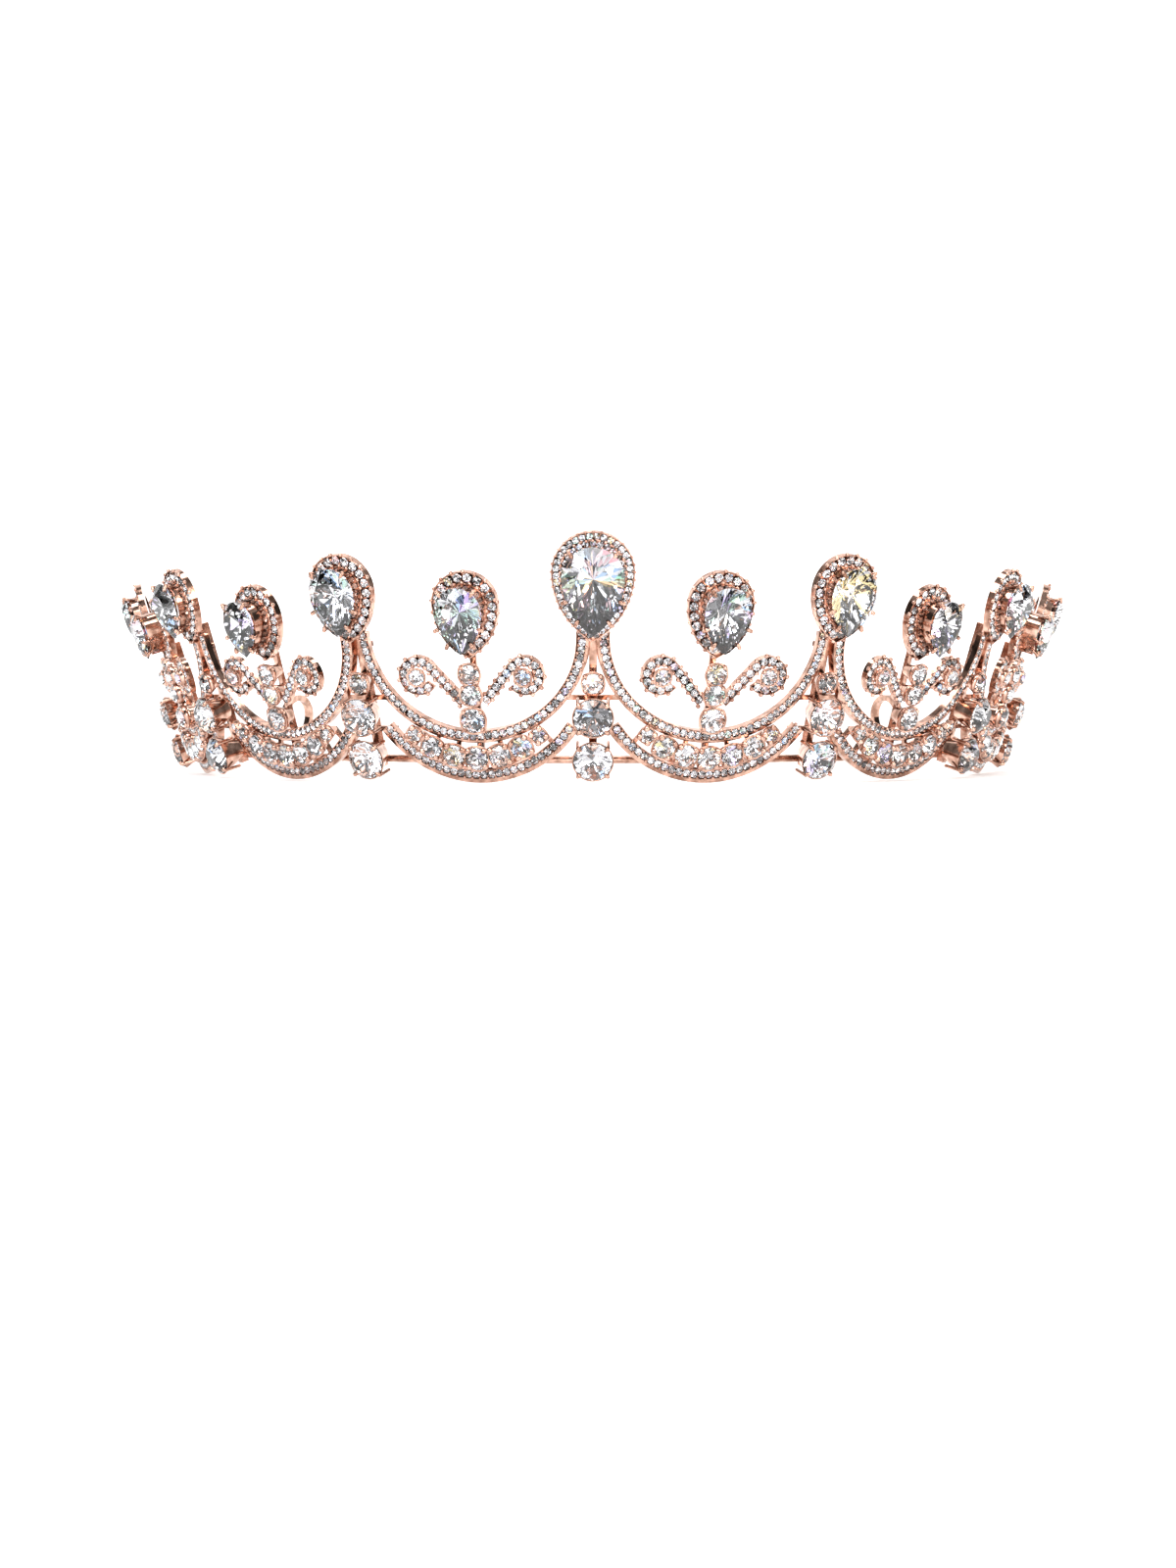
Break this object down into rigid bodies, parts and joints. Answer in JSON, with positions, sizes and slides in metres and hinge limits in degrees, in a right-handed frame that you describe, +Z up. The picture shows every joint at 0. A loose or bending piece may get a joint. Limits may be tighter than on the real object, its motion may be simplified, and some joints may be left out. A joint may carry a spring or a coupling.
{
  "type": "bridal tiara",
  "caption": "Rose-gold bridal tiara: scalloped openwork band with pear-cut stones on halos, scrolled fleurs and a plain wire with end loops.",
  "frame": {"origin": "centre of the outline seen from above, on the plane the six lower scallops stand on", "axes": "+Z up, front of the tiara towards -Y, +X to the right of someone facing the front"},
  "size_m": [0.1662, 0.1256, 0.0382],
  "materials": {
    "rose_gold": "polished rose-gold plating over brass",
    "pear_crystal": "clear faceted pear-cut stone, foiled back",
    "round_crystal": "clear faceted round stone, foiled back",
    "pave_crystal": "rows of tiny clear stones held by metal beads"
  },
  "bodies": {
    "root": {"carrying_wire": "rose_gold", "column_frame_centre": "rose_gold", "column_frame_left_1": "rose_gold", "column_frame_left_2": "rose_gold", "column_frame_left_3": "rose_gold", "column_frame_right_1": "rose_gold", "column_frame_right_2": "rose_gold", "column_frame_right_3": "rose_gold", "column_stones": "round_crystal", "crescent_cups_left_1": "rose_gold", "crescent_cups_left_2": "rose_gold", "crescent_cups_left_3": "rose_gold", "crescent_cups_right_1": "rose_gold", "crescent_cups_right_2": "rose_gold", "crescent_cups_right_3": "rose_gold", "crescent_stones": "round_crystal", "fleur_halo_left_1": "rose_gold", "fleur_halo_left_2": "rose_gold", "fleur_halo_left_3": "rose_gold", "fleur_halo_right_1": "rose_gold", "fleur_halo_right_2": "rose_gold", "fleur_halo_right_3": "rose_gold", "fleur_scrolls_left_1": "rose_gold", "fleur_scrolls_left_2": "rose_gold", "fleur_scrolls_left_3": "rose_gold", "fleur_scrolls_right_1": "rose_gold", "fleur_scrolls_right_2": "rose_gold", "fleur_scrolls_right_3": "rose_gold", "fleur_stem_left_1": "rose_gold", "fleur_stem_left_2": "rose_gold", "fleur_stem_left_3": "rose_gold", "fleur_stem_right_1": "rose_gold", "fleur_stem_right_2": "rose_gold", "fleur_stem_right_3": "rose_gold", "fleur_stones": "round_crystal", "halo_pave": "pave_crystal", "lower_scallop_left_1": "rose_gold", "lower_scallop_left_2": "rose_gold", "lower_scallop_left_3": "rose_gold", "lower_scallop_right_1": "rose_gold", "lower_scallop_right_2": "rose_gold", "lower_scallop_right_3": "rose_gold", "peak_halo_centre": "rose_gold", "peak_halo_left_1": "rose_gold", "peak_halo_left_2": "rose_gold", "peak_halo_left_3": "rose_gold", "peak_halo_right_1": "rose_gold", "peak_halo_right_2": "rose_gold", "peak_halo_right_3": "rose_gold", "pear_stones": "pear_crystal", "rear_arm_left": "rose_gold", "rear_arm_right": "rose_gold", "scallop_pave": "pave_crystal", "scroll_pave": "pave_crystal", "upper_scallop_left_1": "rose_gold", "upper_scallop_left_2": "rose_gold", "upper_scallop_left_3": "rose_gold", "upper_scallop_right_1": "rose_gold", "upper_scallop_right_2": "rose_gold", "upper_scallop_right_3": "rose_gold"}
  },
  "joints": []
}
